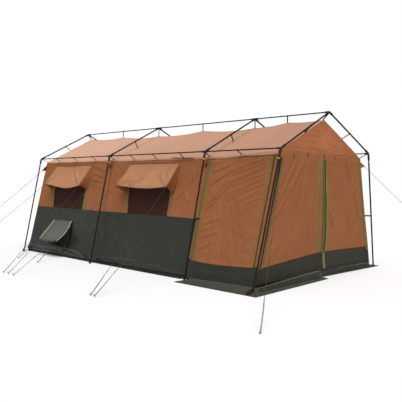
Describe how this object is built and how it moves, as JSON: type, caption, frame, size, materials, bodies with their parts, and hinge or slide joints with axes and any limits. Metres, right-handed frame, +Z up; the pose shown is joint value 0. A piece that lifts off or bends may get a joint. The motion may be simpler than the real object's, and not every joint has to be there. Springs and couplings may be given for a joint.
{
  "type": "frame tent",
  "caption": "Long frame tent: an outside pole frame with a cloth cabin hung under it, window awnings, guy lines and a zip-front porch.",
  "frame": {"origin": "on the ground, on the underside of the cabin floor, halfway between the two end arches and the two long sides", "axes": "+X along the tent toward the porch, +Y toward the far long side, +Z up"},
  "size_m": [7.6865, 6.301, 2.4912],
  "materials": {
    "frame_tube": "satin dark bronze",
    "frame_joint": "moulded black",
    "wall_cloth": "coated orange-brown polyester",
    "roof_cloth": "coated orange polyester, seen in sun",
    "floor_cloth": "black coated groundsheet",
    "trim_cloth": "grey-green coated cloth",
    "guy_cord": "braided 6 mm grey cord",
    "zip_metal": "black painted"
  },
  "bodies": {
    "tent": {"leg_near_1": "frame_tube", "rafter_near_1": "frame_tube", "leg_near_2": "frame_tube", "rafter_near_2": "frame_tube", "leg_near_3": "frame_tube", "rafter_near_3": "frame_tube", "leg_near_4": "frame_tube", "rafter_near_4": "frame_tube", "leg_far_1": "frame_tube", "rafter_far_1": "frame_tube", "leg_far_2": "frame_tube", "rafter_far_2": "frame_tube", "leg_far_3": "frame_tube", "rafter_far_3": "frame_tube", "leg_far_4": "frame_tube", "rafter_far_4": "frame_tube", "ridge_hub_1": "frame_joint", "ridge_hub_2": "frame_joint", "ridge_hub_3": "frame_joint", "ridge_hub_4": "frame_joint", "ridge_pole_back": "frame_tube", "eave_rail_near_back": "frame_tube", "eave_rail_far_back": "frame_tube", "ridge_pole_middle": "frame_tube", "eave_rail_near_middle": "frame_tube", "eave_rail_far_middle": "frame_tube", "ridge_pole_porch": "frame_tube", "eave_rail_near_porch": "frame_tube", "eave_rail_far_porch": "frame_tube", "cabin_floor": "floor_cloth", "cabin_wall_near": "wall_cloth", "cabin_wall_far": "wall_cloth", "back_wall": "wall_cloth", "divider_wall": "wall_cloth", "roof_cloth": "roof_cloth", "porch_shell": "wall_cloth", "ground_flap": "trim_cloth", "guy_line_near_1": "guy_cord", "guy_line_awning_back_left": "guy_cord", "guy_line_awning_back_right": "guy_cord", "guy_line_near_2": "guy_cord", "guy_line_awning_middle_left": "guy_cord", "guy_line_awning_middle_right": "guy_cord", "guy_line_near_3": "guy_cord", "guy_line_near_4": "guy_cord", "guy_line_far_4": "guy_cord", "guy_line_vent_left": "guy_cord", "guy_line_vent_right": "guy_cord"},
    "awning_near_back": {"window_awning_near_back": "roof_cloth"},
    "awning_near_middle": {"window_awning_near_middle": "roof_cloth"},
    "awning_far_back": {"window_awning_far_back": "roof_cloth"},
    "awning_far_middle": {"window_awning_far_middle": "roof_cloth"},
    "vent": {"vent_flap": "trim_cloth"},
    "door_near": {"front_door_near": "wall_cloth"},
    "door_far": {"front_door_far": "wall_cloth"},
    "panel_near": {"porch_panel_near": "wall_cloth"},
    "panel_far": {"porch_panel_far": "wall_cloth"},
    "inner_door": {"divider_door": "wall_cloth"},
    "front_slider": {"front_zip_slider": "zip_metal"},
    "near_slider": {"near_zip_slider": "zip_metal"}
  },
  "joints": [
    {"name": "awning_near_back_hinge", "type": "hinge", "parent": "tent", "child": "awning_near_back", "pos_m": [-2.005, -1.09957, 1.73601], "axis": [-1, 0, 0], "range_deg": [-21.7, 0]},
    {"name": "awning_far_back_hinge", "type": "hinge", "parent": "tent", "child": "awning_far_back", "pos_m": [-2.005, 1.09957, 1.73601], "axis": [1, 0, 0], "range_deg": [0, 30]},
    {"name": "awning_near_middle_hinge", "type": "hinge", "parent": "tent", "child": "awning_near_middle", "pos_m": [0.435, -1.09957, 1.73601], "axis": [-1, 0, 0], "range_deg": [-21.7, 0]},
    {"name": "awning_far_middle_hinge", "type": "hinge", "parent": "tent", "child": "awning_far_middle", "pos_m": [0.435, 1.09957, 1.73601], "axis": [1, 0, 0], "range_deg": [0, 30]},
    {"name": "vent_hinge", "type": "hinge", "parent": "tent", "child": "vent", "pos_m": [-2.008, -1.35654, 0.67601], "axis": [-1, 0, 0], "range_deg": [-27, 0]},
    {"name": "door_near_hinge", "type": "hinge", "parent": "tent", "child": "door_near", "pos_m": [3.02897, -0.5, 1.79], "axis": [0, -1, 0], "range_deg": [0, 85]},
    {"name": "door_far_hinge", "type": "hinge", "parent": "tent", "child": "door_far", "pos_m": [3.02897, 0.5, 1.79], "axis": [0, -1, 0], "range_deg": [0, 85]},
    {"name": "panel_near_hinge", "type": "hinge", "parent": "tent", "child": "panel_near", "pos_m": [2.33, -1.08577, 1.7747], "axis": [-1, 0, 0], "range_deg": [0, 85]},
    {"name": "panel_far_hinge", "type": "hinge", "parent": "tent", "child": "panel_far", "pos_m": [2.33, 1.08577, 1.7747], "axis": [1, 0, 0], "range_deg": [0, 85]},
    {"name": "inner_door_hinge", "type": "hinge", "parent": "tent", "child": "inner_door", "pos_m": [1.7047, -0.4747, 0.9], "axis": [0, 0, -1], "range_deg": [0, 100]},
    {"name": "front_zip_slide", "type": "slide", "parent": "door_far", "child": "front_slider", "axis": [0.0413, 0, 0.9991], "range_m": [0, 1.58]},
    {"name": "near_zip_slide", "type": "slide", "parent": "panel_near", "child": "near_slider", "axis": [0, 0.2356, 0.9719], "range_m": [0, 1.42]}
  ]
}
